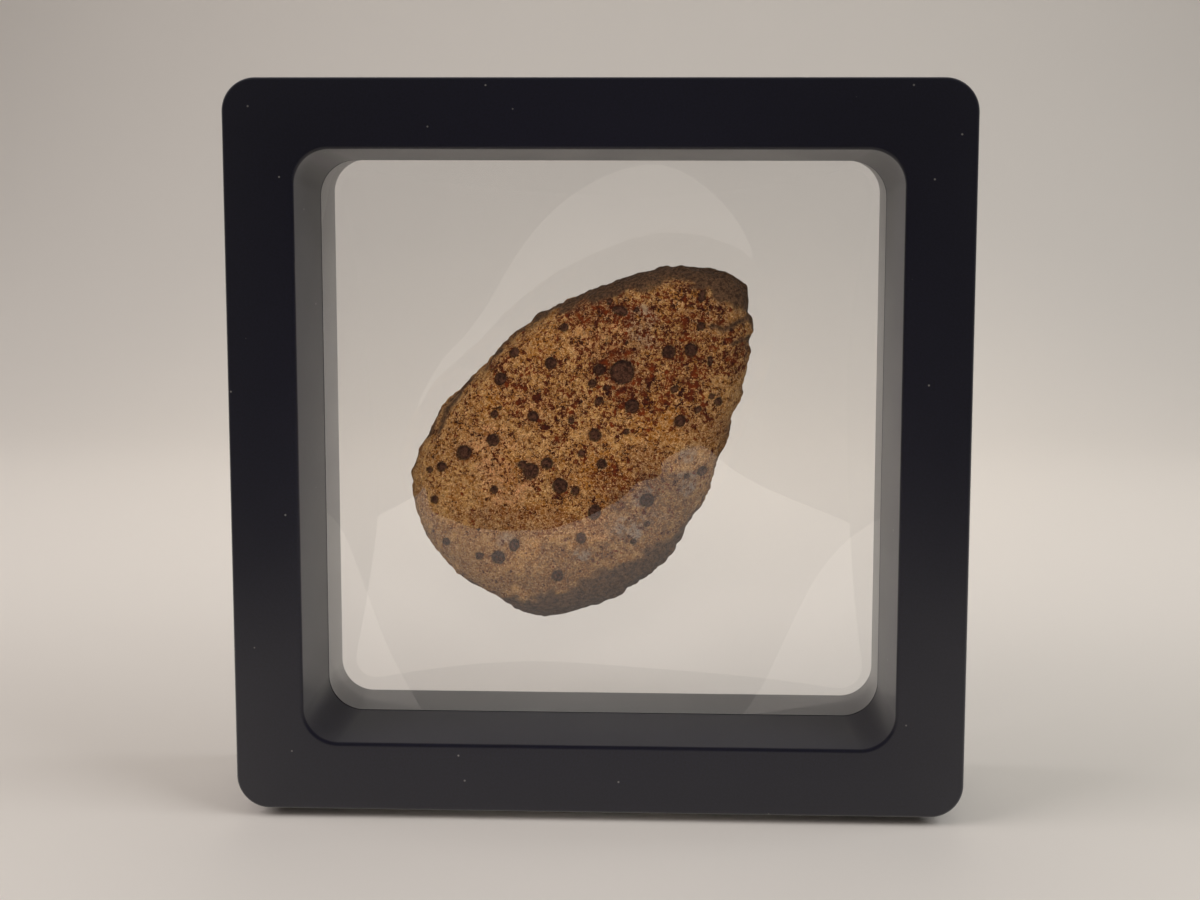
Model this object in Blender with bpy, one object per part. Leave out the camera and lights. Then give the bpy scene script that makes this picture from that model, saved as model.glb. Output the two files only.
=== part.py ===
"""Fossil ankylosaur osteoderm held between two clear elastic films in a square floating display frame.

Metres, +Z up. The frame stands on z = 0, its front faces -Y, and its two halves meet on the plane y = 0.
Shapes seen from the front are given as (x, height) from the frame's middle.
"""

import math

import bmesh
import bpy
import numpy as np
from mathutils import Vector, noise
from mathutils.geometry import delaunay_2d_cdt

MM = 0.001
GAP = 0.3 * MM  # left between pieces that touch

# Frame: two equal hollow halves of moulded plastic
FRAME_SIDE = 110 * MM
FRAME_DEPTH = 20 * MM
OPENING_SIDE = 89.2 * MM  # at the front and back faces
WAIST_SIDE = 87.6 * MM  # where the opening is narrowest, at the parting plane
CORNER_RADIUS = 5 * MM
OPENING_RADIUS = 6 * MM
WAIST_RADIUS = 7 * MM
EDGE_ROUND = 0.5 * MM
WALL = 1.6 * MM
CORNER_STEPS = 6

# Films: fixed on the inner walls' rims and drawn tight over the osteoderm
FILM_THICKNESS = 0.2 * MM
FILM_SIDE = WAIST_SIDE + 1.6 * WALL
FILM_LIFT = 0.5 * MM  # from the osteoderm's mean surface, so that its bumps stay clear
FILM_SIDE_STEPS = 6
FILM_CORNER_STEPS = 4
FILM_RINGS_HELD = (0.3, 0.55, 0.72, 0.83, 0.91, 0.97)  # shares of the way from centre to outline
FILM_RINGS_FREE = (0.0, 0.12, 0.3, 0.6, 1.0)  # shares of the way from outline to where the film is clamped

# Osteoderm: a thick, gently domed plate, standing on its broad end
CENTRE = np.array((-3.0, 0.0)) * MM  # the point that its angles and shares are measured from
EYE = np.array((10.7, 30.6))  # the outline and pits are listed as they look from far in front of here, in mm,
RIM_NEARNESS = 0.991  # and lie closer round it than they look, as the rim
FACE_NEARNESS = 0.979  # and the face are nearer to the eye than the parting plane
OUTLINE = (  # (x, height) in mm, anticlockwise from the right side
    (19.4, 0), (20.4, 4), (21.6, 7.5), (22.5, 11), (23.1, 14), (22.9, 16), (23.7, 17.9), (23.4, 19.5),
    (22.7, 20.7), (22.8, 22.8), (22, 24.6), (20.6, 26), (18, 26.8), (14, 27.3), (10, 27.3), (4.5, 26),
    (-1, 24), (-6, 21.8), (-9.7, 19.8), (-13.6, 16.7), (-16.2, 14.5), (-19.6, 10.4), (-23.2, 7.2),
    (-25.6, 4.3), (-27.3, 0.9), (-28.8, -1.5), (-29.7, -4.8), (-29.4, -9), (-28.5, -13.3), (-25, -18.7),
    (-21, -22.3), (-17, -24.6), (-14.5, -26.1), (-12.2, -27.3), (-8.5, -28), (-3, -26.8), (2.5, -24.6),
    (6.5, -21.9), (10, -19), (12.4, -15.4), (14.5, -11.7), (16.5, -8.4), (17.6, -4),
)
FRONT_HEIGHT = 8.2 * MM  # from the parting plane to the middle of the front
FRONT_CROWN = 0.03  # share of that height that the front loses by its rim
BACK_HEIGHT = 7.4 * MM
BACK_HOLLOW = 0.9 * MM  # how far the middle of the back is sunk
RIM_FULLNESS = 11  # higher is a squarer rim
RIM_SLACK = 6  # taken from that where the rim slopes most
SLACK_DIRECTION = math.radians(-52)
CRENULATION = 0.55 * MM
CRENULATION_LENGTH = 1.5 * MM
SWELLS = ((9 * MM, 0.5 * MM), (3.6 * MM, 0.22 * MM))  # length and size of each roll of the surface

# Pits of the front face: (x, height, diameter) in mm
PITS = (
    (3.4, 11.5, 3.6), (-0.1, 11.8, 1.7), (-1.2, 9.7, 1.1), (-0.3, 6.9, 1.1), (4.9, 6.3, 2.0),
    (10.5, 14.6, 1.9), (13.8, 14.9, 1.8), (12.2, 4.1, 1.7), (-7.5, 12.8, 1.7), (-15.3, 10.3, 1.8),
    (-10.2, 4.7, 1.5), (-16.2, 4.9, 1.1), (-16.4, 0.9, 1.8), (-20.9, -1.1, 2.2), (-24.4, -3.3, 1.4),
    (-0.8, 1.8, 1.8), (-2.9, -1.0, 1.0), (0.3, -2.6, 1.5), (-8.1, -2.6, 1.7), (-11.9, -2.8, 1.2),
    (-10.6, -3.8, 2.3), (-6.1, -6.1, 2.2), (-3.8, -6.9, 1.2), (-16.3, -6.8, 1.1), (-0.8, -10.1, 2.0),
    (7.2, -8.3, 2.1), (-2.9, -14.2, 1.5), (-13.2, -15.5, 1.5), (-15.7, -17.4, 2.0), (-18.7, -17.2, 1.1),
    (-6.6, -20.2, 1.7), (-23.9, -15.2, 1.2), (-25.6, -8.5, 1.2), (15.3, 18.6, 1.2), (-5.5, 18.2, 1.2),
    (3.0, 20.8, 1.4), (15.4, 23.0, 1.2), (-13.2, 14.3, 1.4), (18.0, 7.0, 1.3), (15.6, -4.1, 1.5),
)
PIT_DEPTH = 0.45  # share of a pit's diameter
PIT_DEEPEST = 1.2 * MM
PIT_FLOOR = 0.62  # the floor's share of a pit's radius

# How finely the osteoderm is faceted
OUTLINE_STEPS = 12  # to each span between two points of the outline
RIM_POINTS = 132
FRONT_RINGS = ((0.985, 132), (0.955, 132), (0.91, 88), (0.85, 66))  # share of the way out, and points
BACK_RINGS = ((0.97, 132), (0.9, 66), (0.78, 40))
FRONT_SPACING = 2.1 * MM
BACK_SPACING = 4.2 * MM
PIT_POINTS = 8
CREASE = math.radians(32)  # facets meeting at more than this keep a sharp edge
PIT_MARGIN = 1.25  # no other point within this share of a pit's radius
CDT_TRIANGLES_INSIDE = 1
CDT_EPSILON = 1e-7

FRONT, BACK = -1, 1  # sign of y on each side of the parting plane


def clear_scene():
    for thing in list(bpy.data.objects):
        bpy.data.objects.remove(thing, do_unlink=True)


def material(name, colour, roughness, transmission=0.0):
    """A Principled material of one linear colour."""
    made = bpy.data.materials.new(name)
    made.use_nodes = True
    shader = made.node_tree.nodes["Principled BSDF"]
    shader.inputs["Base Color"].default_value = (*colour, 1.0)
    shader.inputs["Roughness"].default_value = roughness
    shader.inputs["Metallic"].default_value = 0.0
    shader.inputs["Transmission Weight"].default_value = transmission
    made.diffuse_color = (*colour, 1.0 - 0.75 * transmission)
    return made


def place(seen, y):
    """The world position of a point given as (x, height) from the frame's middle, at this y."""
    return Vector((seen[0], y, FRAME_SIDE / 2 + seen[1]))


def add_object(name, builder, surface):
    """An object made of the builder's faces, turned outwards."""
    bmesh.ops.recalc_face_normals(builder, faces=builder.faces)
    mesh = bpy.data.meshes.new(name)
    builder.to_mesh(mesh)
    builder.free()
    mesh.materials.append(surface)
    bpy.context.collection.objects.link(bpy.data.objects.new(name, mesh))
    return mesh


def shade(mesh):
    mesh.shade_smooth()
    mesh.set_sharp_from_angle(angle=CREASE)


def bridge(builder, first, second):
    """Quads between two closed loops of as many vertices."""
    count = len(first)
    for i in range(count):
        j = (i + 1) % count
        builder.faces.new((first[i], first[j], second[j], second[i]))


# Frame


def rounded_square(half, radius, steps):
    """Points of a square with rounded corners, anticlockwise from the middle right."""
    points = []
    for quarter in range(4):
        start = quarter * math.pi / 2
        away = (half - radius) * math.sqrt(2)
        corner = away * Vector((math.cos(start + math.pi / 4), math.sin(start + math.pi / 4)))
        for step in range(steps + 1):
            angle = start + math.pi / 2 * step / steps
            points.append(corner + radius * Vector((math.cos(angle), math.sin(angle))))
    return points


def half_profile():
    """The half's wall section, as (half side, corner radius, distance from the parting plane) all round."""
    outer, opening, waist = FRAME_SIDE / 2, OPENING_SIDE / 2, WAIST_SIDE / 2
    face = FRAME_DEPTH / 2
    rim = GAP / 2
    inner_rim = rim + FILM_THICKNESS + GAP
    soft = EDGE_ROUND * (1 - math.sqrt(0.5))
    return (
        (outer, CORNER_RADIUS, rim),
        (outer, CORNER_RADIUS, face - EDGE_ROUND),
        (outer - soft, CORNER_RADIUS - soft, face - soft),
        (outer - EDGE_ROUND, CORNER_RADIUS - EDGE_ROUND, face),
        (opening + EDGE_ROUND, OPENING_RADIUS + EDGE_ROUND, face),
        (opening + soft, OPENING_RADIUS + soft, face - soft),
        (opening, OPENING_RADIUS, face - EDGE_ROUND),
        (waist, WAIST_RADIUS, inner_rim),
        (waist + WALL, WAIST_RADIUS + WALL, inner_rim),
        (opening + WALL, OPENING_RADIUS + WALL, face - WALL),
        (outer - WALL, CORNER_RADIUS - WALL, face - WALL),
        (outer - WALL, CORNER_RADIUS - WALL, rim),
    )


def frame_half(name, side, plastic):
    """One half of the frame: a channel, open towards the other half, all round the opening."""
    builder = bmesh.new()
    loops = []
    for half, radius, depth in half_profile():
        points = rounded_square(half, radius, CORNER_STEPS)
        loops.append([builder.verts.new(place(point, side * depth)) for point in points])
    for i, loop in enumerate(loops):
        bridge(builder, loop, loops[(i + 1) % len(loops)])
    shade(add_object(name, builder, plastic))


# Osteoderm


def smooth_loop(points, steps):
    """A closed Catmull-Rom curve through the points."""
    here = np.array(points, float)
    behind, ahead, beyond = (np.roll(here, shift, axis=0) for shift in (1, -1, -2))
    a, b, c, d = (group[:, None, :] for group in (behind, here, ahead, beyond))
    t = np.linspace(0, 1, steps, endpoint=False)[None, :, None]
    curve = b + (c - a) * t / 2 + (2 * a - 5 * b + 4 * c - d) * t**2 / 2 + (3 * b - a - 3 * c + d) * t**3 / 2
    return curve.reshape(-1, 2)


def drawn_in(points, nearness):
    """Points as listed, brought closer round the eye's place."""
    return EYE + nearness * (np.array(points) - EYE)


def pits():
    """Each pit's middle and diameter."""
    listed = np.array(PITS)
    return np.column_stack((drawn_in(listed[:, :2], FACE_NEARNESS), FACE_NEARNESS * listed[:, 2]))


def polar(points):
    """Angles and distances of points about the osteoderm's centre."""
    away = np.asarray(points) - CENTRE
    return np.arctan2(away[..., 1], away[..., 0]), np.hypot(away[..., 0], away[..., 1])


def outline_table():
    """The outline as sorted angles and their distances from the centre."""
    angles, distances = polar(smooth_loop(drawn_in(OUTLINE, RIM_NEARNESS), OUTLINE_STEPS) * MM)
    order = np.argsort(angles)
    return angles[order], distances[order]


def reach(angles):
    """Distance from the centre to the outline at these angles."""
    return np.interp(angles, *outline_table(), period=2 * math.pi)


def direction(angles):
    return np.stack((np.cos(angles), np.sin(angles)), axis=-1)


def noise_at(points, length):
    """Smooth noise between about -1 and 1, which changes over this length."""
    return np.array([noise.noise(Vector((x / length, z / length, 0.5))) for x, z in points])


def mean_height(side, shares, angles):
    """Distance from the parting plane to the smooth plate, at these shares of the way to the outline."""
    slack = np.maximum(np.cos(angles - SLACK_DIRECTION), 0)
    shoulder = np.sqrt(1 - shares ** (RIM_FULLNESS - RIM_SLACK * slack))
    if side == FRONT:
        return FRONT_HEIGHT * (1 - FRONT_CROWN * shares**2) * shoulder
    return BACK_HEIGHT * shoulder


def pit_sink(points):
    """How far the pits lower the front at these points."""
    sink = np.zeros(len(points))
    for x, z, diameter in pits():
        radius = diameter * MM / 2
        share = np.hypot(points[:, 0] - x * MM, points[:, 1] - z * MM) / radius
        depth = min(PIT_DEPTH * diameter * MM, PIT_DEEPEST)
        sink = np.maximum(sink, depth * np.clip((1 - share) / (1 - PIT_FLOOR), 0, 1))
    return sink


def surface_height(side, points, shares, angles):
    """Distance from the parting plane to the rolling, pitted surface."""
    height = mean_height(side, shares, angles)
    swell = sum(size * noise_at(points, length) for length, size in SWELLS)
    height = height + swell * np.minimum(1, 4 * (1 - shares))
    if side == FRONT:
        return height - pit_sink(points)
    return height - BACK_HOLLOW * (1 - np.minimum(1, shares / 0.85) ** 2)


def ring(share, angles):
    """Points this share of the way to the crenulated outline."""
    rim = CENTRE + reach(angles)[:, None] * direction(angles)
    wave = CRENULATION * noise_at(rim, CRENULATION_LENGTH) * share**8
    return CENTRE + (reach(angles) * share + wave)[:, None] * direction(angles)


def even_angles(count):
    """Angles that divide the outline into equal lengths."""
    angles, distances = outline_table()
    curve = distances[:, None] * direction(angles)
    steps = np.linalg.norm(np.roll(curve, -1, axis=0) - curve, axis=1)
    along = np.concatenate(((0,), np.cumsum(steps)))
    turned = np.concatenate((angles, (angles[0] + 2 * math.pi,)))
    return np.interp(np.linspace(0, along[-1], count, endpoint=False), along, turned)


def hexagonal_grid(spacing, share):
    """Points of a hexagonal grid within this share of the way to the outline."""
    span = np.arange(-20, 21) * spacing
    x, z = np.meshgrid(span, span * math.sqrt(0.75), indexing="ij")
    x = x + np.where(np.arange(41) % 2, spacing / 2, 0)
    points = CENTRE + np.stack((x, z), axis=-1).reshape(-1, 2)
    angles, distances = polar(points)
    return points[distances < share * reach(angles)]


def outside_pits(points, others):
    """Those of the points that none of these pits nearly reaches."""
    free = np.ones(len(points), bool)
    for x, z, diameter in others:
        away = np.hypot(points[:, 0] - x * MM, points[:, 1] - z * MM)
        free &= away > PIT_MARGIN * diameter * MM / 2
    return points[free]


def pit_points(index):
    """A pit's middle, floor and edge points, without those in the pits listed before it."""
    x, z, diameter = pits()[index]
    turns = direction(np.arange(PIT_POINTS) * 2 * math.pi / PIT_POINTS)
    rings = [share * diameter / 2 * turns for share in (PIT_FLOOR, 1)]
    points = (np.concatenate(([(0, 0)], *rings)) + (x, z)) * MM
    return outside_pits(points, pits()[:index])


def sheet_points(side):
    """The points of one side's facets, the rim's first, with their shares of the way to the outline."""
    rings, spacing = (FRONT_RINGS, FRONT_SPACING) if side == FRONT else (BACK_RINGS, BACK_SPACING)
    points = [ring(1, even_angles(RIM_POINTS))] + [ring(share, even_angles(count)) for share, count in rings]
    shares = [np.full(len(group), share) for group, share in zip(points, (1, *(r[0] for r in rings)))]
    inside = hexagonal_grid(spacing, rings[-1][0] - 0.05)
    if side == FRONT:
        inside = np.concatenate((outside_pits(inside, pits()), *(pit_points(i) for i in range(len(PITS)))))
        for i, group in enumerate(points[1:], start=1):
            kept = outside_pits(group, pits())
            points[i], shares[i] = kept, shares[i][: len(kept)]
    angles, distances = polar(inside)
    points.append(inside)
    shares.append(distances / reach(angles))
    return np.concatenate(points), np.concatenate(shares)


def add_sheet(builder, rim, side):
    """Facets over one side of the osteoderm, joined to the rim's vertices."""
    points, shares = sheet_points(side)
    heights = surface_height(side, points, shares, polar(points)[0])
    border = [(i, (i + 1) % RIM_POINTS) for i in range(RIM_POINTS)]
    made = delaunay_2d_cdt([Vector(p) for p in points], border, [], CDT_TRIANGLES_INSIDE, CDT_EPSILON)
    vertices = []
    for origins in made[3]:
        i = origins[0]
        vertices.append(rim[i] if i < RIM_POINTS else builder.verts.new(place(points[i], side * heights[i])))
    for face in made[2]:
        builder.faces.new([vertices[i] for i in face])


def osteoderm(bone):
    builder = bmesh.new()
    rim = [builder.verts.new(place(point, 0)) for point in ring(1, even_angles(RIM_POINTS))]
    for side in (FRONT, BACK):
        add_sheet(builder, rim, side)
    shade(add_object("osteoderm", builder, bone))


# Films


def film_edge():
    """Points all round the film's edge, closer together at its corners."""
    points = []
    corners = rounded_square(FILM_SIDE / 2, WAIST_RADIUS + WALL / 2, FILM_CORNER_STEPS)
    for i, point in enumerate(corners):
        following = corners[(i + 1) % len(corners)]
        steps = 1 if (i + 1) % (FILM_CORNER_STEPS + 1) else FILM_SIDE_STEPS
        points += [point.lerp(following, step / steps) for step in range(steps)]
    return np.array(points)


def film_heights(side, distances, angles, clamp):
    """How far the film stands from its edge's plane at these distances from the centre, a row to a ray.

    A taut film sinks in proportion to the logarithm of the distance. So on each ray it lies on the osteoderm
    as far as the place from which the fall to the clamp is steepest, and hangs free from there. It is flat
    beyond the clamp.
    """
    shares = np.linspace(0.3, 1, 141)
    plate = mean_height(side, shares[None, :], angles[:, None]) + FILM_LIFT
    reaches = reach(angles)[:, None]
    falls = plate / np.log(clamp / (shares * reaches))
    leaving = shares[falls.argmax(axis=1)][:, None] * reaches
    free = np.maximum(falls.max(axis=1)[:, None] * np.log(clamp / distances), 0)
    held = mean_height(side, np.minimum(distances / reaches, 1), angles[:, None]) + FILM_LIFT
    return np.where(distances < leaving, held, free)


def film(name, side, plastic):
    """One film: a skin of even thickness, flat at its edge and swollen over the osteoderm."""
    angles, edge = polar(film_edge())
    reaches, edge = reach(angles)[:, None], edge[:, None]
    clamp = edge * WAIST_SIDE / FILM_SIDE
    held = reaches * np.array(FILM_RINGS_HELD)
    free = reaches + (clamp - reaches) * np.array(FILM_RINGS_FREE)
    distances = np.concatenate((held, free, edge), axis=1)
    heights = film_heights(side, distances, angles, clamp) + GAP / 2
    top = mean_height(side, np.zeros(1), np.zeros(1))[0] + FILM_LIFT + GAP / 2
    builder = bmesh.new()
    outermost = []
    for added in (0, FILM_THICKNESS):
        middle = builder.verts.new(place(CENTRE, side * (top + added)))
        rings = []
        for k in range(distances.shape[1]):
            seen = CENTRE + distances[:, k : k + 1] * direction(angles)
            rings.append([builder.verts.new(place(p, side * (h + added))) for p, h in zip(seen, heights[:, k])])
        for i in range(len(angles)):
            builder.faces.new((middle, rings[0][i - 1], rings[0][i]))
        for first, second in zip(rings, rings[1:]):
            bridge(builder, first, second)
        outermost.append(rings[-1])
    bridge(builder, *outermost)
    shade(add_object(name, builder, plastic))


def main():
    clear_scene()
    black_plastic = material("black_plastic", (0.013, 0.012, 0.015), 0.5)
    clear_film = material("clear_film", (0.96, 0.96, 0.97), 0.08, transmission=1.0)
    fossil_bone = material("fossil_bone", (0.36, 0.235, 0.13), 0.75)
    for place_name, side in (("front", FRONT), ("back", BACK)):
        frame_half(f"frame_{place_name}", side, black_plastic)
        film(f"film_{place_name}", side, clear_film)
    osteoderm(fossil_bone)


main()
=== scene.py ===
"""Looks of a fossil ankylosaur osteoderm held between two clear films in a square floating display frame.

Metres, +Z up. The frame stands on z = 0, its front faces -Y, and its two halves meet on the plane y = 0.
Shapes seen from the front are given as (x, height) from the frame's middle.
"""

import math

import bpy
import numpy as np
from mathutils import Matrix, Vector

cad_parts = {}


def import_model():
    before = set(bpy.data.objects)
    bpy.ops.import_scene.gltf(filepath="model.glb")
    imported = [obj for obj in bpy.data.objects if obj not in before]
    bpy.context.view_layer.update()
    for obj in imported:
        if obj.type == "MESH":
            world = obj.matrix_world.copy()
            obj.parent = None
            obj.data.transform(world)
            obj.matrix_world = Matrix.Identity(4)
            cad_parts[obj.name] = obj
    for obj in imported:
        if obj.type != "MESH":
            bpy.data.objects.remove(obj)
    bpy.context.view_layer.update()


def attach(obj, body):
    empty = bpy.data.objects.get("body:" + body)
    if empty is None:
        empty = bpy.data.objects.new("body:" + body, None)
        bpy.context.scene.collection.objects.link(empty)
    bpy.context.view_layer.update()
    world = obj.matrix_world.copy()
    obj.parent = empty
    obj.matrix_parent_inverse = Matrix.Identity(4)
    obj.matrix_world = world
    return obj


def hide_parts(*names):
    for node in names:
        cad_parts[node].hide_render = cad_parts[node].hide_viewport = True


MM = 0.001
FRONT, BACK = -1, 1  # sign of y on each side of the parting plane

# Frame: two equal hollow halves of moulded plastic
FRAME_SIDE = 110 * MM
FRAME_DEPTH = 20 * MM
OPENING_SIDE = 89.2 * MM  # at the front and back faces
WAIST_SIDE = 87.6 * MM  # where the opening is narrowest, at the parting plane
CORNER_RADIUS = 5 * MM
OPENING_RADIUS = 5.3 * MM
WAIST_RADIUS = 5.6 * MM
EDGE_ROUND = 0.5 * MM
WALL = 1.6 * MM
CORNER_STEPS = 24
SIDE_STEPS = 12
EDGE_STEPS = 6
SEAM = 0.05 * MM  # from the parting plane to each outer rim, and from each film to the inner rim
FRAME_CREASE = math.radians(32)  # a fold sharper than this shows as an edge

# Films: clamped between the inner rims, and drawn tight over the osteoderm
FILM_THICKNESS = 0.1 * MM
FILM_GAP = 0.02 * MM  # between the two films at their edges
FILM_SIDE = WAIST_SIDE + 1.6 * WALL  # it reaches over most of each rim
FILM_LIFT = 0.5 * MM  # from the osteoderm's mean surface, over its bumps
FILM_STEPS = 200
FILM_ROUNDS = 3000  # of levelling
FILM_CREASE = math.radians(60)

# Osteoderm: a thick, gently domed plate, standing on its broad end
CENTRE = np.array((-3.0, 0.0)) * MM  # the point that its angles and shares are measured from
EYE = np.array((10.7, 30.6))  # (x, height) in mm; what is listed below is as it looks from in front of here,
RIM_NEARNESS = 0.991  # and lies closer round it than it looks, as the rim
FACE_NEARNESS = 0.979  # and the face are nearer to the eye than the parting plane
OUTLINE = (  # (x, height) in mm, anticlockwise from the right side
    (19.4, 0), (20.4, 4), (21.6, 7.5), (22.5, 11), (23.1, 14), (22.9, 16), (23.7, 17.9), (23.4, 19.5),
    (22.7, 20.7), (22.8, 22.8), (22, 24.6), (20.6, 26), (18, 26.8), (14, 27.3), (10, 27.3), (4.5, 26),
    (-1, 24), (-6, 21.8), (-9.7, 19.8), (-13.6, 16.7), (-16.2, 14.5), (-19.6, 10.4), (-23.2, 7.2),
    (-25.6, 4.3), (-27.3, 0.9), (-28.8, -1.5), (-29.7, -4.8), (-29.4, -9), (-28.5, -13.3), (-25, -18.7),
    (-21, -22.3), (-17, -24.6), (-14.5, -26.1), (-12.2, -27.3), (-8.5, -28), (-3, -26.8), (2.5, -24.6),
    (6.5, -21.9), (10, -19), (12.4, -15.4), (14.5, -11.7), (16.5, -8.4), (17.6, -4),
)
FACE_OUTLINE = (  # inside the dark band of the flank, partly rind and partly painted shade, in the same way
    (19.9, 0), (20.9, 4), (22.2, 7.5), (23.1, 11), (23.7, 14), (23.3, 16.2), (22.9, 18.6), (20.8, 21.4),
    (18.6, 22.3), (15.6, 23.9), (11.9, 24.6), (9.2, 24.7), (6.4, 23.9), (2, 22.9), (-1.7, 22),
    (-4.7, 21.5), (-9.8, 19.6), (-13.6, 16.8), (-16.3, 14.6), (-19.8, 10.6), (-23.4, 7.4), (-25.8, 4.5),
    (-27.5, 1.1), (-29.0, -1.3), (-29.9, -4.8), (-29.6, -9), (-28.7, -13.4), (-25.1, -18.9), (-20.8, -22.2),
    (-16.8, -23.9), (-13.3, -24.4), (-7.7, -23.2), (-0.9, -20.3), (6.5, -16.7), (12.3, -13.4),
    (16.6, -8.7), (18.0, -4),
)
OUTLINE_STEPS = 12  # to each span between two points of an outline
FRONT_HEIGHT = 8.2 * MM  # from the parting plane to the middle of the front
FRONT_CROWN = 0.03  # share of that height that the front loses by its rim
BACK_HEIGHT = 7.4 * MM
BACK_HOLLOW = 0.9 * MM  # how far the middle of the back is sunk
HOLLOW_REACH = 0.85  # share of the way out to the outline
RIM_FULLNESS = 11  # higher is a squarer rim
RIM_SLACK = 6  # taken from that where the rim slopes most
SLACK_DIRECTION = math.radians(-52)
PLATE_STEPS = 219
FLANK_SHARE = 0.8  # of the way out on the disc, from where its grid is drawn together

# Relief of the bone: (length, size) of each layer of smooth noise
SWELLS = ((9 * MM, 0.35 * MM), (3.6 * MM, 0.18 * MM))
BUMPS = ((1.5 * MM, 0.09 * MM), (0.7 * MM, 0.05 * MM))
RELIEF_MARGIN = 0.25  # share of the way in from the outline over which swells and bumps grow
RIM_LUMPS = ((2.4 * MM, 0.6 * MM), (1.1 * MM, 0.3 * MM))
LUMP_MEAN = 0.25  # taken from their noise, so that the rim keeps its place
LUMP_NARROWNESS = 8  # higher keeps them closer to the rim
# The dark band round the flank is partly the bone's rind and partly painted shade where the flank turns from
# the light
RIND_AND_SHADE_RAGGED = ((2.6 * MM, 1.1 * MM), (0.9 * MM, 0.7 * MM))
RIND_AND_SHADE_FADE = 1.8 * MM
PIT_RAGGED = ((0.8 * MM, 0.08),)
PATCH_RAGGED = ((2.6 * MM, 0.45), (1.1 * MM, 0.3))
PIT_SEED, RELIEF_SEED, LUMP_SEED, RIND_AND_SHADE_SEED, PATCH_SEED = 11, 20, 30, 40, 50

# Vascular pits of the front face: (x, height, diameter) in mm
PITS = (
    (3.4, 11.5, 3.6), (-0.1, 11.8, 1.7), (-1.2, 9.7, 1.1), (-0.3, 6.9, 1.1), (4.9, 6.3, 2.0),
    (10.5, 14.6, 1.9), (13.8, 14.9, 1.8), (12.2, 4.1, 1.7), (-7.5, 12.8, 1.7), (-15.3, 10.3, 1.8),
    (-10.2, 4.7, 1.5), (-16.2, 4.9, 1.1), (-16.4, 0.9, 1.8), (-20.9, -1.1, 2.2), (-24.4, -3.3, 1.4),
    (-0.8, 1.8, 1.8), (-2.9, -1.0, 1.0), (0.3, -2.6, 1.5), (-8.1, -2.6, 1.7), (-11.9, -2.8, 1.2),
    (-10.6, -3.8, 2.3), (-6.1, -6.1, 2.2), (-3.8, -6.9, 1.2), (-16.3, -6.8, 1.1),
    (7.2, -8.3, 2.1), (-2.9, -14.2, 1.5), (-15.7, -17.4, 2.0), (-18.7, -17.2, 1.1),
    (-6.6, -20.2, 1.7), (-23.9, -15.2, 1.2), (-25.6, -8.5, 1.2), (15.3, 18.6, 1.2), (-5.5, 18.2, 1.2),
    (-13.2, 14.3, 1.4), (18.0, 7.0, 1.3), (15.6, -4.1, 1.5),
    (-15.3, 5.9, 0.5), (-26.3, -3.9, 0.9), (5.5, 21.0, 0.6), (1.4, 22.2, 0.8), (17.0, 7.9, 0.8),
    (14.9, 5.9, 0.8), (11.3, 9.0, 0.9), (13.3, -4.6, 0.8), (5.1, -14.9, 0.9), (7.2, -12.1, 0.9),
    (-4.4, 4.0, 0.9), (4.0, 2.3, 0.8), (4.0, 16.1, 0.5),
)
LONG_PITS = (  # (x, height, length, width in mm, tilt in degrees)
    (3.0, 20.8, 2.3, 1.2, -15), (15.4, 23.0, 1.7, 1.0, 80), (16.7, 13.3, 1.6, 0.6, 84),
    (1.0, 9.1, 1.1, 0.6, 0), (-0.8, -10.1, 2.3, 1.8, 80), (-13.2, -15.4, 1.9, 1.4, 75),
)
# Creases near the rim: sunk into the bone, and coloured dark as painted shade in them
CREASES = (  # (points along each in mm, width in mm)
    (((17, 18.6), (19.1, 18), (21.1, 19.1), (22.7, 19.6)), 0.7), (((20.2, 15.8), (22.8, 16.7)), 0.6),
    (((-22, 7.8), (-23.9, 4.8), (-25.1, 1.8)), 0.8),
)
CREASE_DEPTH = 0.3 * MM
PIT_DEPTH = 0.36  # share of a pit's width
PIT_DEEPEST = 0.8 * MM
PIT_EDGE, PIT_FLOOR = 1.08, 0.72  # where a pit begins and where it is flat, as shares of its radius
PIT_STAIN_EDGE, PIT_STAIN_FADE = 1.12, 0.3  # where its dark stain begins, and how far it fades in
HALO_EDGE, HALO_FADE = 1.9, 0.8  # the same for the rust round it
HALO_FULL = 2.4  # length in mm of the least pit with a full halo
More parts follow.
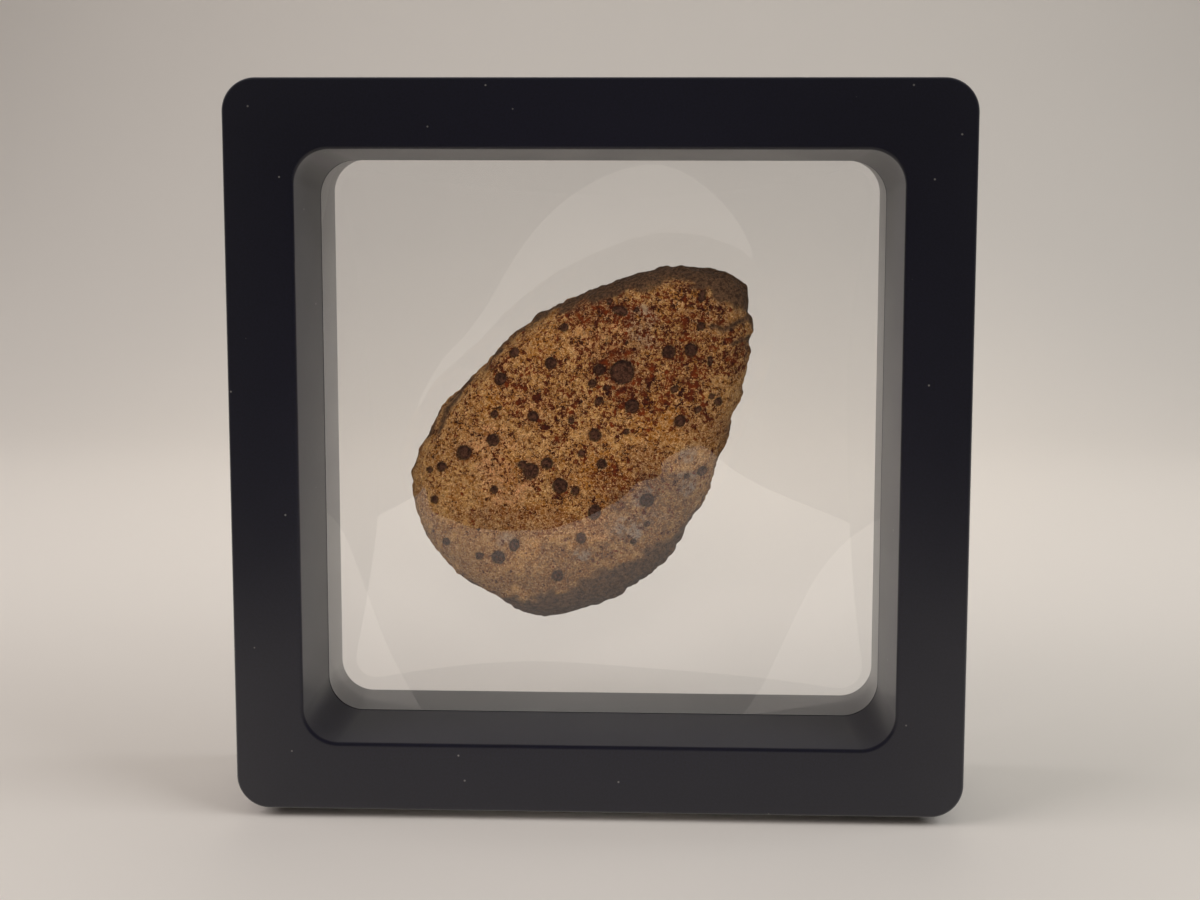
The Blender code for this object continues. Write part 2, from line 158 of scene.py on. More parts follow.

# Stains of the bone, and painted shade on its lower part: (x, height, width, height, strength) of each patch,
# in mm
STAINS_AND_SHADE = {
    "rusty": (
        (3.4, 11.5, 7, 7, 1.0), (-1.5, 21.2, 10, 4, 1.0), (-14, -10.8, 14, 3, 0.9),
        (-5.5, -12.6, 12, 2.6, 1.0), (2.5, -5.5, 10, 5, 0.9), (7.5, -1.5, 7, 4, 0.8),
        (16, 2.5, 8, 6, 0.7), (16, 20, 8, 5, 0.6),
    ),
    "golden": (
        (-15.4, 7.1, 5, 4, 1.0), (8.3, 4.3, 8, 7, 0.9), (0.6, -4.8, 8, 6, 1.0), (-13.9, -3.4, 4, 6, 0.5),
        (-8, 15, 9, 5, 0.6), (12, 21, 10, 5, 0.6), (-9, -10.5, 10, 4, 0.7),
    ),
    "salmon": (
        (-14.3, -4.5, 7, 7, 1.0), (-15.8, 0.5, 8, 5, 0.7), (-14.7, -8, 6, 3, 0.8), (-0.2, 16.4, 8, 5, 0.5),
        (-11, 6, 6, 4, 0.4), (-0.2, -12.8, 7, 3, 0.5),
    ),
    # painted shade, darkening the lower part of the bone
    "lower_shade": (
        (8, -13, 16, 11, 0.8), (11, -7, 10, 9, 0.8), (-5, -19, 18, 8, 0.7), (-16, -16, 14, 10, 0.4),
    ),
    "blue_grey": (
        (13.5, -1.3, 2.4, 3, 0.6), (13.2, -5.2, 2.4, 4, 0.5), (4.1, -13.2, 4, 3, 0.8),
        (-3.0, -16.9, 3, 2, 0.6), (8.4, -11.1, 5, 2, 0.6), (-14.7, -14.3, 3, 2, 0.6),
        (6.5, -7.6, 3, 3, 0.4), (6.2, 18.2, 5, 6, 0.5),
    ),
    "speckled": (
        (0, 9, 30, 16, 0.8), (11, 15, 22, 16, 0.9), (4, 21, 26, 8, 0.9), (-14, 3, 22, 22, 0.45),
        (0, -5, 26, 10, 0.4),
    ),
}
PATCH_EDGE, PATCH_FADE = 1.5, 0.9  # where a patch begins, and how far it fades in, as shares of its radius

# Pores of the bone's open weave: (spacing, how dense the noise is at a pore's edge)
PORES = ((0.9 * MM, 0.715), (0.55 * MM, 0.695), (0.36 * MM, 0.705))
PORE_FADE = 0.03
PORES_IN_SPECKLED, PORES_IN_BROAD = 0.105, 0.14  # how much denser it is where these are full
LIP_SHADE = 0.64  # share of the light that is lost halfway down a pit's wall

# Camera and stage
CAMERA_PLACE = (0.010678, -0.164627, 0.085633)
CAMERA_YAW = math.radians(1.25)
CAMERA_PITCH = math.radians(3.88)  # downwards
CAMERA_ROLL = math.radians(0.19)
CAMERA_SENSOR = 36.0
CAMERA_LENS = 31.8
CAMERA_SHIFT = (-0.0395, -0.110)
CAMERA_NEAREST = 0.01
FLOOR = -1.3 * MM  # a little low, so that the shade under the frame shows
TABLE_FRONT = (  # (x, y) along the front edge of the lit part of the table, where the dark of the room begins
    (-1.5, -0.075), (-0.15, -0.07), (-0.09, -0.1), (-0.05, -0.142), (-0.02, -0.163), (0.02, -0.18),
    (0.05, -0.165), (0.08, -0.121), (1.5, -0.121),
)
SWEEP_START, SWEEP_RADIUS, SWEEP_TOP = 0.3, 0.35, 1.6
SWEEP_STEPS = 32
ROOM_FURTHER = 0.6  # how much further from the frame its wall stands than the one behind
ROOM_GAP = 0.001 * MM  # between the two sheets of paper, so that no line is in both
LAMPS = (  # name, place, aim, size, spread in degrees, watts, colour
    ("softbox_left", (-0.55, -0.12, 0.5), (0, 0, 0.03), 0.45, 180, 2.5, "fff9f8"),
    ("softbox_right", (0.55, -0.12, 0.5), (0, 0, 0.03), 0.45, 180, 2.58, "fdffff"),
    ("softbox_front", (0, -0.45, 0.6), (0, 0, 0.03), 0.6, 180, 0.42, "fff4e0"),
    ("softbox_over", (0, 0.35, 0.9), (0, 0.35, 0.0), 0.8, 180, 1.45, "fffff6"),
    ("backdrop_lamp", (0, 0.12, 0.45), (0, 0.3, 0.0), 0.12, 70, 0.1, "fff4e6"),
    ("camera_lamp", (0.0107, -0.2, 0.12), (-0.003, 0, 0.055), 0.04, 34, 0.0078, "fff4ea"),
)
ROOM_COLOUR, ROOM_STRENGTH = "fff6f2", 0.055


def colour(code):
    """Linear RGBA of an sRGB hex colour."""
    srgb = np.array([int(code[i : i + 2], 16) for i in (0, 2, 4)]) / 255
    linear = np.where(srgb <= 0.04045, srgb / 12.92, ((srgb + 0.055) / 1.055) ** 2.4)
    return (*linear, 1.0)


# Surfaces

LATTICE_SIZE = 32  # nodes along each side before the noise repeats


def ease(share):
    """A smooth step from 0 to 1 with flat ends: 6 s^5 - 15 s^4 + 10 s^3."""
    share = np.clip(share, 0, 1)
    return share**3 * (share * (share * 6 - 15) + 10)


def rolls(points, length, seed):
    """Smooth noise from -1 to 1: random values on a cubic lattice of this length, eased between its nodes."""
    lattice = np.random.default_rng(seed).uniform(-1, 1, (LATTICE_SIZE,) * 3)
    cell = np.floor(points / length).astype(int)
    part = ease(points / length - cell)
    value = 0
    for corner in np.ndindex(2, 2, 2):
        weight = np.where(corner, part, 1 - part).prod(axis=-1)
        i, j, k = np.moveaxis((cell + corner) % LATTICE_SIZE, -1, 0)
        value = value + weight * lattice[i, j, k]
    return value


def layered_rolls(points, layers, seed):
    """The sum of layers of smooth noise, each of its own (length, size) and with the next seed."""
    return sum(size * rolls(points, length, seed + k) for k, (length, size) in enumerate(layers))


def seen_from_front(x, height, y=0.0):
    """World points of (x, height) from the frame's middle, at this y."""
    x, height, y = np.broadcast_arrays(x, height, y)
    return np.stack((x, y, FRAME_SIDE / 2 + height), axis=-1)


def grid_faces(index, closed_rows=False, closed_columns=False):
    """The quads between neighbours in a grid of vertex numbers."""
    if closed_rows:
        index = np.concatenate((index, index[:1]))
    if closed_columns:
        index = np.concatenate((index, index[:, :1]), axis=1)
    corners = index[:-1, :-1], index[1:, :-1], index[1:, 1:], index[:-1, 1:]
    return np.stack(corners, axis=-1).reshape(-1, 4)


def signed_volume(points, faces):
    """Volume inside a closed surface of quads, negative if they face inwards."""
    a, b, c, d = (points[faces[:, i]] for i in range(4))
    return (np.cross(b - a, c - a) * a + np.cross(c - a, d - a) * a).sum() / 6


def add_piece(name, points, faces, finish, crease=None):
    """A smooth-shaded object of these points and quads, facing outwards."""
    if signed_volume(points, faces) < 0:
        faces = faces[:, ::-1]
    mesh = bpy.data.meshes.new(name)
    mesh.from_pydata(points, [], faces)
    mesh.shade_smooth()
    if crease is not None:
        mesh.set_sharp_from_angle(angle=crease)
    mesh.materials.append(finish)
    piece = bpy.data.objects.new(name, mesh)
    bpy.context.scene.collection.objects.link(piece)
    return piece


def add_attribute(piece, name, values):
    """A number for each vertex, which a material reads by this name."""
    piece.data.attributes.new(name, "FLOAT", "POINT").data.foreach_set("value", values.astype(np.float32))


# Materials


def add_node(tree, kind, inputs=(), **settings):
    """A node with these settings; each input is a value or the socket that it is linked from."""
    node = tree.nodes.new(kind)
    for name, value in settings.items():
        setattr(node, name, value)
    for name, value in dict(inputs).items():
        if isinstance(value, bpy.types.NodeSocket):
            tree.links.new(value, node.inputs[name])
        else:
            node.inputs[name].default_value = value
    return node


def new_material(name):
    """An empty node material with its Principled shader: (material, tree, shader)."""
    made = bpy.data.materials.new(name)
    made.use_nodes = True
    return made, made.node_tree, made.node_tree.nodes["Principled BSDF"]


MIX_FACTOR, MIX_A, MIX_B, MIX_RESULT = 0, 6, 7, 2  # a colour Mix node's sockets
DUST_LEFT_OUT = 0.45  # share of the cells that hold no speck


def spark_eroded_plastic():
    """Black ABS moulded in a spark-eroded tool: a satin near-black, greyed at a flat angle by its fine grain.

    The grain is drawn 0.2 mm wide, coarser than it is, so that it shows, with a bluer tooth of 0.3 mm. The
    gloss drifts over 8 mm, and a few dust specks of 0.2 mm lie 4 mm or more apart.
    """
    made, tree, shader = new_material("black_spark_eroded_abs")
    place = add_node(tree, "ShaderNodeTexCoord").outputs["Object"]
    grain = add_node(
        tree, "ShaderNodeTexNoise", {"Vector": place, "Scale": 5.5 / MM, "Detail": 2, "Roughness": 0.6}
    ).outputs["Fac"]
    clouds, tooth = (
        add_node(
            tree, "ShaderNodeTexNoise", {"Vector": place, "Scale": per_mm / MM, "Detail": detail}
        ).outputs["Fac"]
        for per_mm, detail in ((0.12, 3), (3, 2))
    )
    dust_cells = add_node(tree, "ShaderNodeTexVoronoi", {"Vector": place, "Scale": 0.26 / MM}).outputs
    speck = add_node(
        tree, "ShaderNodeMapRange",
        {"Value": dust_cells["Distance"], "From Min": 0.02, "From Max": 0.05, "To Min": 1, "To Max": 0},
    ).outputs["Result"]
    draw = add_node(tree, "ShaderNodeSeparateColor", {"Color": dust_cells["Color"]}).outputs["Red"]
    chosen = add_node(
        tree, "ShaderNodeMath", {0: draw, 1: DUST_LEFT_OUT}, operation="GREATER_THAN"
    ).outputs[0]
    dust = add_node(tree, "ShaderNodeMath", {0: speck, 1: chosen}, operation="MULTIPLY").outputs[0]
    shade = colour("07070b")
    for mask, cover in ((tooth, "1c1b30"), (dust, "8d8a88")):
        shade = add_node(
            tree, "ShaderNodeMix", {MIX_FACTOR: mask, MIX_A: shade, MIX_B: colour(cover)}, data_type="RGBA"
        ).outputs[MIX_RESULT]
    roughness = add_node(
        tree, "ShaderNodeMapRange",
        {"Value": clouds, "From Min": 0.3, "From Max": 0.7, "To Min": 0.32, "To Max": 0.38},
    ).outputs["Result"]
    bump = add_node(
        tree, "ShaderNodeBump", {"Height": grain, "Strength": 0.12, "Distance": 0.02 * MM}
    ).outputs["Normal"]
    tree.links.new(shade, shader.inputs["Base Color"])
    tree.links.new(roughness, shader.inputs["Roughness"])
    tree.links.new(bump, shader.inputs["Normal"])
    shader.inputs["IOR"].default_value = 1.5
    shader.inputs["Specular IOR Level"].default_value = 0.5
    shader.inputs["Sheen Weight"].default_value = 0.95
    shader.inputs["Sheen Roughness"].default_value = 0.4
    return made


def clear_film():
    """Polyurethane film, cast smooth: quite clear, seen by the soft mirror images in its tent.

    Its gloss drifts a little over 17 mm.
    """
    made, tree, shader = new_material("clear_polyurethane_film")
    place = add_node(tree, "ShaderNodeTexCoord").outputs["Object"]
    haze = add_node(
        tree, "ShaderNodeTexNoise", {"Vector": place, "Scale": 0.06 / MM, "Detail": 3}
    ).outputs["Fac"]
    roughness = add_node(
        tree, "ShaderNodeMapRange",
        {"Value": haze, "From Min": 0.3, "From Max": 0.7, "To Min": 0.0, "To Max": 0.01},
    ).outputs["Result"]
    tree.links.new(roughness, shader.inputs["Roughness"])
    shader.inputs["Base Color"].default_value = colour("fdfdfd")
    shader.inputs["Transmission Weight"].default_value = 1.0
    shader.inputs["IOR"].default_value = 1.54
    return made


def fossil_bone():
    """Mineralised bone, weathered and cleaned: pale struts round pores that hold dark red-brown mineral.

    Its open weave shows as pores of 0.2 to 1 mm, crowded where it is speckled and in drifts of 5 mm. Iron has
    stained it in patches, each broken up by the finer mottle, and its rind and pits are darkest. Painted
    shade darkens its lower part, its creases and its pits' walls, and deepens the dark band round its flank.
    """
    made, tree, shader = new_material("mineralised_fossil_bone")
    place = add_node(tree, "ShaderNodeTexCoord").outputs["Object"]
    rusty, golden, salmon, lower_shade, blue_grey, speckled, rind_and_flank_shade, pit, halo, crease = (
        add_node(tree, "ShaderNodeAttribute", attribute_name=name).outputs["Fac"]
        for name in (
            "rusty", "golden", "salmon", "lower_shade", "blue_grey", "speckled", "rind_and_flank_shade", "pit", "halo", "crease",
        )
    )
    broad, mottle, tint, fine, grain = (
        add_node(
            tree, "ShaderNodeTexNoise",
            {"Vector": place, "Scale": per_mm / MM, "Detail": 5, "Roughness": 0.65},
        ).outputs["Fac"]
        for per_mm in (0.19, 0.62, 1.15, 1.9, 4.2)  # spots of 5, 1.6, 0.9, 0.5 and 0.2 mm
    )

    # The pores lie in noise whose places are stirred by another, so that they are ragged
    stir = add_node(
        tree, "ShaderNodeTexNoise", {"Vector": place, "Scale": 2.1 / MM, "Detail": 2}
    ).outputs["Color"]
    stirred = add_node(
        tree, "ShaderNodeVectorMath", {0: stir, 1: (1.1 * MM,) * 3, 2: place}, operation="MULTIPLY_ADD"
    ).outputs["Vector"]
    wall = add_node(
        tree, "ShaderNodeTexVoronoi", {"Vector": stirred, "Scale": 1 / (0.9 * MM)}, feature="DISTANCE_TO_EDGE"
    ).outputs["Distance"]
    pores = 0.0
    for spacing, edge in PORES:
        cloud = add_node(
            tree, "ShaderNodeTexNoise",
            {"Vector": stirred, "Scale": 1 / spacing, "Detail": 3, "Roughness": 0.55},
        ).outputs["Fac"]
        for share, more in ((speckled, PORES_IN_SPECKLED), (broad, PORES_IN_BROAD)):
            cloud = add_node(
                tree, "ShaderNodeMath", {0: share, 1: more, 2: cloud}, operation="MULTIPLY_ADD"
            ).outputs[0]
        pore = add_node(
            tree, "ShaderNodeMapRange", {"Value": cloud, "From Min": edge, "From Max": edge + PORE_FADE}
        ).outputs["Result"]
        pores = add_node(tree, "ShaderNodeMath", {0: pores, 1: pore}, operation="MAXIMUM").outputs[0]

    # How the noises break up each stain: from low to high they give least to most
    flesh, dapple, dark, pale, strut, ochre = (
        add_node(
            tree, "ShaderNodeMapRange",
            {"Value": value, "From Min": low, "From Max": high, "To Min": least, "To Max": most},
        ).outputs["Result"]
        for value, low, high, least, most in (
            (mottle, 0.38, 0.62, 0.0, 1.0), (fine, 0.42, 0.58, 0.25, 1.0), (fine, 0.455, 0.37, 0.0, 0.8),
            (grain, 0.54, 0.66, 0.0, 0.6), (wall, 0.1, 0.02, 0.0, 0.5), (tint, 0.5, 0.62, 0.0, 0.8),
        )
    )
    shade = add_node(
        tree, "ShaderNodeMix", {MIX_FACTOR: flesh, MIX_A: colour("9a5f20"), MIX_B: colour("d0a060")},
        data_type="RGBA",
    ).outputs[MIX_RESULT]
    # Stains and tones laid over the colour; the 5e4638 patches are painted shade on the lower part
    for mask, dapples, stain_and_shade_colour in (
        (salmon, flesh, "dfa070"), (1.0, ochre, "8e560c"), (1.0, dark, "5c3414"), (golden, dapple, "a5650a"),
        (rusty, dapple, "6e3206"), (halo, dapple, "74360c"), (1.0, strut, "d8b282"), (1.0, pale, "e2c294"),
        (lower_shade, dapple, "5e4638"), (blue_grey, flesh, "9a9690"),
    ):
        broken = add_node(tree, "ShaderNodeMath", {0: mask, 1: dapples}, operation="MULTIPLY").outputs[0]
        shade = add_node(
            tree, "ShaderNodeMix", {MIX_FACTOR: broken, MIX_A: shade, MIX_B: colour(stain_and_shade_colour)}, data_type="RGBA"
        ).outputs[MIX_RESULT]
    mineral, rim, floor = (
        add_node(
            tree, "ShaderNodeMix", {MIX_FACTOR: between, MIX_A: colour(low), MIX_B: colour(high)},
            data_type="RGBA",
        ).outputs[MIX_RESULT]
        for between, low, high in (
            (flesh, "32110a", "7c340c"), (dapple, "2b1c12", "74563e"), (dapple, "1c0d06", "6a4634"),
        )
    )
    # The rim colour goes on the dark band round the flank, partly rind and partly painted shade, and on the
    # creases as painted shade
    for mask, cover in ((pores, mineral), (rind_and_flank_shade, rim), (crease, rim), (pit, floor)):
        shade = add_node(
            tree, "ShaderNodeMix", {MIX_FACTOR: mask, MIX_A: shade, MIX_B: cover}, data_type="RGBA"
        ).outputs[MIX_RESULT]

    # Light and dark grains all over, and shade round each pit's wall: 1 - 4 LIP_SHADE pit (1 - pit)
    speckle = add_node(
        tree, "ShaderNodeMapRange",
        {"Value": grain, "From Min": 0.35, "From Max": 0.65, "To Min": 0.7, "To Max": 1.3},
    ).outputs["Result"]
    outside = add_node(tree, "ShaderNodeMath", {0: 1.0, 1: pit}, operation="SUBTRACT").outputs[0]
    lip = add_node(tree, "ShaderNodeMath", {0: pit, 1: outside}, operation="MULTIPLY").outputs[0]
    lip_light = add_node(
        tree, "ShaderNodeMath", {0: lip, 1: -4 * LIP_SHADE, 2: 1.0}, operation="MULTIPLY_ADD"
    ).outputs[0]
    for light_share in (speckle, lip_light):
        shade = add_node(
            tree, "ShaderNodeVectorMath", {0: shade, "Scale": light_share}, operation="SCALE"
        ).outputs["Vector"]

    relief = add_node(tree, "ShaderNodeMath", {0: fine, 1: pores}, operation="SUBTRACT").outputs[0]
    for rise, size in ((mottle, 1.2), (grain, 0.4)):
        relief = add_node(
            tree, "ShaderNodeMath", {0: rise, 1: size, 2: relief}, operation="MULTIPLY_ADD"
        ).outputs[0]
    bump = add_node(
        tree, "ShaderNodeBump", {"Height": relief, "Strength": 0.7, "Distance": 0.2 * MM}
    ).outputs["Normal"]
    tree.links.new(shade, shader.inputs["Base Color"])
    tree.links.new(bump, shader.inputs["Normal"])
    shader.inputs["Roughness"].default_value = 0.7
    shader.inputs["IOR"].default_value = 1.55
    shader.inputs["Specular IOR Level"].default_value = 0.15
    return made


def seamless_paper():
    """Matt background paper, rolled: an even warm white that drifts over 250 mm."""
    made, tree, shader = new_material("seamless_paper")
    place = add_node(tree, "ShaderNodeTexCoord").outputs["Object"]
    clouds = add_node(
        tree, "ShaderNodeTexNoise", {"Vector": place, "Scale": 0.004 / MM, "Detail": 2}
    ).outputs["Fac"]
    shade = add_node(
        tree, "ShaderNodeMix", {MIX_FACTOR: clouds, MIX_A: colour("e6e0da"), MIX_B: colour("e9e3dd")},
        data_type="RGBA",
    ).outputs[MIX_RESULT]
    tree.links.new(shade, shader.inputs["Base Color"])
    shader.inputs["Roughness"].default_value = 0.9
    shader.inputs["Specular IOR Level"].default_value = 0.2
    return made


# Frame


def rounded_square(half, radius):
    """Points round a square with rounded corners, for each row of half sides and corner radii.

    A corner is an arc of the radius about a centre that lies the radius inside both sides. The sides between
    the arcs are divided evenly.
    """
    turn = np.arange(4)[:, None] * math.pi / 2
    arc = turn + np.linspace(0, math.pi / 2, CORNER_STEPS + 1)
    corner = math.sqrt(2) * np.stack((np.cos(turn + math.pi / 4), np.sin(turn + math.pi / 4)), axis=-1)
    around = np.stack((np.cos(arc), np.sin(arc)), axis=-1)
    half, radius = (np.asarray(v)[..., None, None, None] for v in (half, radius))
    arcs = (half - radius) * corner + radius * around
    following = np.roll(arcs[..., :1, :], -1, axis=-3)
    along = np.linspace(0, 1, SIDE_STEPS, endpoint=False)[1:, None]
    sides = arcs[..., -1:, :] * (1 - along) + following * along
    ring = np.concatenate((arcs, sides), axis=-2)
    return ring.reshape(*ring.shape[:-3], -1, 2)


def half_profile():
    """The half's wall section, as rows of (half side, corner radius, distance from the parting plane).

    It is a channel, open towards the other half: outer wall, face and inner wall, with quarter-round edges
    between them, and the same walls again from inside.
    """
    outer, opening, waist = FRAME_SIDE / 2, OPENING_SIDE / 2, WAIST_SIDE / 2
    face = FRAME_DEPTH / 2
    inner_rim = FILM_GAP / 2 + FILM_THICKNESS + SEAM
    turn = np.linspace(0, math.pi / 2, EDGE_STEPS + 1)
    across, up = EDGE_ROUND * (1 - np.cos(turn)), EDGE_ROUND * (1 - np.sin(turn))
    outer_edge = np.stack((outer - across, CORNER_RADIUS - across, face - up), axis=-1)
    inner_edge = np.stack((opening + across, OPENING_RADIUS + across, face - up), axis=-1)[::-1]
    rows = (
        [(outer, CORNER_RADIUS, SEAM)],
        outer_edge,
        inner_edge,
        [
            (waist, WAIST_RADIUS, inner_rim),
            (waist + WALL, WAIST_RADIUS + WALL, inner_rim),
            (opening + WALL, OPENING_RADIUS + WALL, face - WALL),
            (outer - WALL, CORNER_RADIUS - WALL, face - WALL),
            (outer - WALL, CORNER_RADIUS - WALL, SEAM),
        ],
    )
    return np.concatenate(rows)


def frame_half(name, side, plastic):
    """One half of the frame: the wall section carried round the rounded square."""
    half, radius, depth = half_profile().T
    ring = rounded_square(half, radius)
    points = seen_from_front(ring[..., 0], ring[..., 1], side * depth[:, None])
    index = np.arange(points.size // 3).reshape(points.shape[:2])
    faces = grid_faces(index, closed_rows=True, closed_columns=True)
    return add_piece(name, points.reshape(-1, 3), faces, plastic, crease=FRAME_CREASE)


# Osteoderm


def smooth_loop(points):
    """A closed Catmull-Rom curve through the points."""
    here = np.array(points, float)
    behind, ahead, beyond = (np.roll(here, shift, axis=0) for shift in (1, -1, -2))
    a, b, c, d = (group[:, None, :] for group in (behind, here, ahead, beyond))
    t = np.linspace(0, 1, OUTLINE_STEPS, endpoint=False)[None, :, None]
    curve = b + (c - a) * t / 2 + (2 * a - 5 * b + 4 * c - d) * t**2 / 2 + (3 * b - a - 3 * c + d) * t**3 / 2
    return curve.reshape(-1, 2)


def drawn_in(points, nearness):
    """Points as listed, brought closer round the eye's place."""
    return EYE + nearness * (np.array(points) - EYE)


def reach(outline, nearness, angles):
    """Distance from the osteoderm's centre to an outline at these angles."""
    away = smooth_loop(drawn_in(outline, nearness)) * MM - CENTRE
    turned, distances = np.arctan2(away[:, 1], away[:, 0]), np.hypot(away[:, 0], away[:, 1])
    order = np.argsort(turned)
    return np.interp(angles, turned[order], distances[order], period=2 * math.pi)


def mean_height(side, shares, angles):
    """Distance from the parting plane to the smooth plate, at these shares of the way to the outline.

    It is the middle's height times the square root of 1 - share^fullness, so that the rim is upright, and the
    rim is less full towards the slack direction. The front also falls off with the share squared.
    """
    slack = np.maximum(np.cos(angles - SLACK_DIRECTION), 0)
    shoulder = np.sqrt(np.maximum(1 - shares ** (RIM_FULLNESS - RIM_SLACK * slack), 0))
    if side == FRONT:
        return FRONT_HEIGHT * (1 - FRONT_CROWN * shares**2) * shoulder
    return BACK_HEIGHT * shoulder


def pit_wells(x, height):
    """(how far the pits lower the surface, how much of each point is in a pit, how close it is to one).

    Each pit is a flat-floored well: its depth is eased in from its ragged edge to its floor. A small pit is
    the more ragged for its size.
    """
    wobble = layered_rolls(seen_from_front(x, height), PIT_RAGGED, PIT_SEED)
    sink, inside, near = (np.zeros_like(x) for _ in range(3))
    for pit_x, pit_height, length, width, tilt in (*((*pit, pit[2], 0) for pit in PITS), *LONG_PITS):
        turn = math.radians(tilt)
        across_x, across_up = x / MM - pit_x, height / MM - pit_height
        along = across_x * math.cos(turn) + across_up * math.sin(turn)
        aside = across_up * math.cos(turn) - across_x * math.sin(turn)
        share = 2 * np.hypot(along / length, aside / width) + wobble * 2 / (1 + width)
        depth = min(PIT_DEPTH * width * MM, PIT_DEEPEST)
        sink = np.maximum(sink, depth * ease((PIT_EDGE - share) / (PIT_EDGE - PIT_FLOOR)))
        inside = np.maximum(inside, ease((PIT_STAIN_EDGE - share) / PIT_STAIN_FADE))
        near = np.maximum(near, ease((HALO_EDGE - share) / HALO_FADE) * min(1, length / HALO_FULL))
    return sink, inside, near


def line_nearness(x, height):
    """1 along the middle of each crease, easing to 0 at its sides."""
    near = np.zeros_like(x)
    for points, width in CREASES:
        for (start_x, start_up), (end_x, end_up) in zip(points, points[1:]):
            run_x, run_up = end_x - start_x, end_up - start_up
            away_x, away_up = x / MM - start_x, height / MM - start_up
            along = np.clip((away_x * run_x + away_up * run_up) / (run_x**2 + run_up**2), 0, 1)
            away = np.hypot(away_x - along * run_x, away_up - along * run_up)
            near = np.maximum(near, ease(1 - away / width))
    return near


def patches(x, height, stain_and_shade_patches, seed):
    """Strength of these patches at each point: each eases from full to none across a ragged ellipse's edge.
    """
    ragged = layered_rolls(seen_from_front(x, height), PATCH_RAGGED, seed)
    strength = np.zeros_like(x)
    for middle_x, middle_height, width, tall, most in stain_and_shade_patches:
        share = np.hypot((x / MM - middle_x) * 2 / width, (height / MM - middle_height) * 2 / tall)
        strength = np.maximum(strength, most * ease((PATCH_EDGE - share + ragged) / PATCH_FADE))
    return strength


def plate_disc():
    """(shares, angles): a square grid pressed into a disc, and drawn together towards its rim.

    The point (u, v) of the square goes to (u sqrt(1 - v^2 / 2), v sqrt(1 - u^2 / 2)). Its distance out, d,
    becomes 2 d / (1 + s) up to the flank's share s, and from there 1 - (1 - d)^2 / (1 - s^2), which goes on
    at the same slope and slows down to the rim, so that the upright flank is even.
    """
    u, v = np.meshgrid(*2 * [np.linspace(-1, 1, PLATE_STEPS + 1)], indexing="ij")
    x, height = u * np.sqrt(1 - v**2 / 2), v * np.sqrt(1 - u**2 / 2)
    out = np.minimum(np.hypot(x, height), 1)
    even, slowing = 2 * out / (1 + FLANK_SHARE), 1 - (1 - out) ** 2 / (1 - FLANK_SHARE**2)
    return np.where(out < FLANK_SHARE, even, slowing), np.arctan2(height, x)


def plate_side(side):
    """One side's points, with its stains, painted shades and pits by name.

    The height is the smooth plate's, rolled by the swells and bumps and lowered by the pits and creases, or
    by the back's hollow. The flank is moved along its rays by the lumps of the rim.
    """
    shares, angles = plate_disc()
    height = mean_height(side, shares, angles)
    mean_distance = shares * reach(OUTLINE, RIM_NEARNESS, angles)
    x, up = CENTRE[0] + mean_distance * np.cos(angles), CENTRE[1] + mean_distance * np.sin(angles)
    seen_x, seen_up = (e * MM + (v - e * MM) / FACE_NEARNESS for v, e in zip((x, up), EYE))
    smooth = seen_from_front(x, up, side * height)

    inner = np.minimum(1, (1 - shares) / RELIEF_MARGIN)
    height = height + inner * layered_rolls(smooth, SWELLS + BUMPS, RELIEF_SEED)
    lump = sum(
        size * (abs(rolls(smooth, length, LUMP_SEED + k)) - LUMP_MEAN)
        for k, (length, size) in enumerate(RIM_LUMPS)
    )
    distance = mean_distance + lump * shares**LUMP_NARROWNESS
    face = reach(FACE_OUTLINE, FACE_NEARNESS, angles) + layered_rolls(smooth, RIND_AND_SHADE_RAGGED, RIND_AND_SHADE_SEED)
    # The dark band round the flank: partly the bone's rind, partly painted shade where the flank turns from
    # the light
    marks = {"rind_and_flank_shade": ease((mean_distance - face) / RIND_AND_SHADE_FADE + 0.5)}
    if side == FRONT:
        sink, marks["pit"], marks["halo"] = pit_wells(seen_x, seen_up)
        # the creases are sunk, and coloured dark as painted shade in them
        marks["crease"] = line_nearness(seen_x, seen_up)
        height = height - sink - CREASE_DEPTH * marks["crease"]
    else:
        height = height - BACK_HOLLOW * (1 - np.minimum(1, shares / HOLLOW_REACH) ** 2)
        marks["pit"] = marks["halo"] = marks["crease"] = np.zeros_like(x)
    for k, (name, stain_and_shade_patches) in enumerate(STAINS_AND_SHADE.items()):
        marks[name] = patches(seen_x, seen_up, stain_and_shade_patches, PATCH_SEED + 2 * k)
    x, up = CENTRE[0] + distance * np.cos(angles), CENTRE[1] + distance * np.sin(angles)
    return seen_from_front(x, up, side * height), marks


def osteoderm(bone):
    """The fossil: its two sides, joined along the rim."""
    count = PLATE_STEPS + 1
    inside = np.zeros((count, count), bool)
    inside[1:-1, 1:-1] = True
    front_index = np.arange(count**2).reshape(count, count)
    back_index = front_index.copy()
    back_index[inside] = count**2 + np.arange(inside.sum())
    (front, front_marks), (back, back_marks) = plate_side(FRONT), plate_side(BACK)
    points = np.concatenate((front.reshape(-1, 3), back[inside]))
    faces = np.concatenate((grid_faces(front_index), grid_faces(back_index)[:, ::-1]))
    piece = add_piece("osteoderm_bone", points, faces, bone)
    for name, marks in front_marks.items():
        add_attribute(piece, name, np.concatenate((marks.ravel(), back_marks[name][inside])))
    return piece


# Films


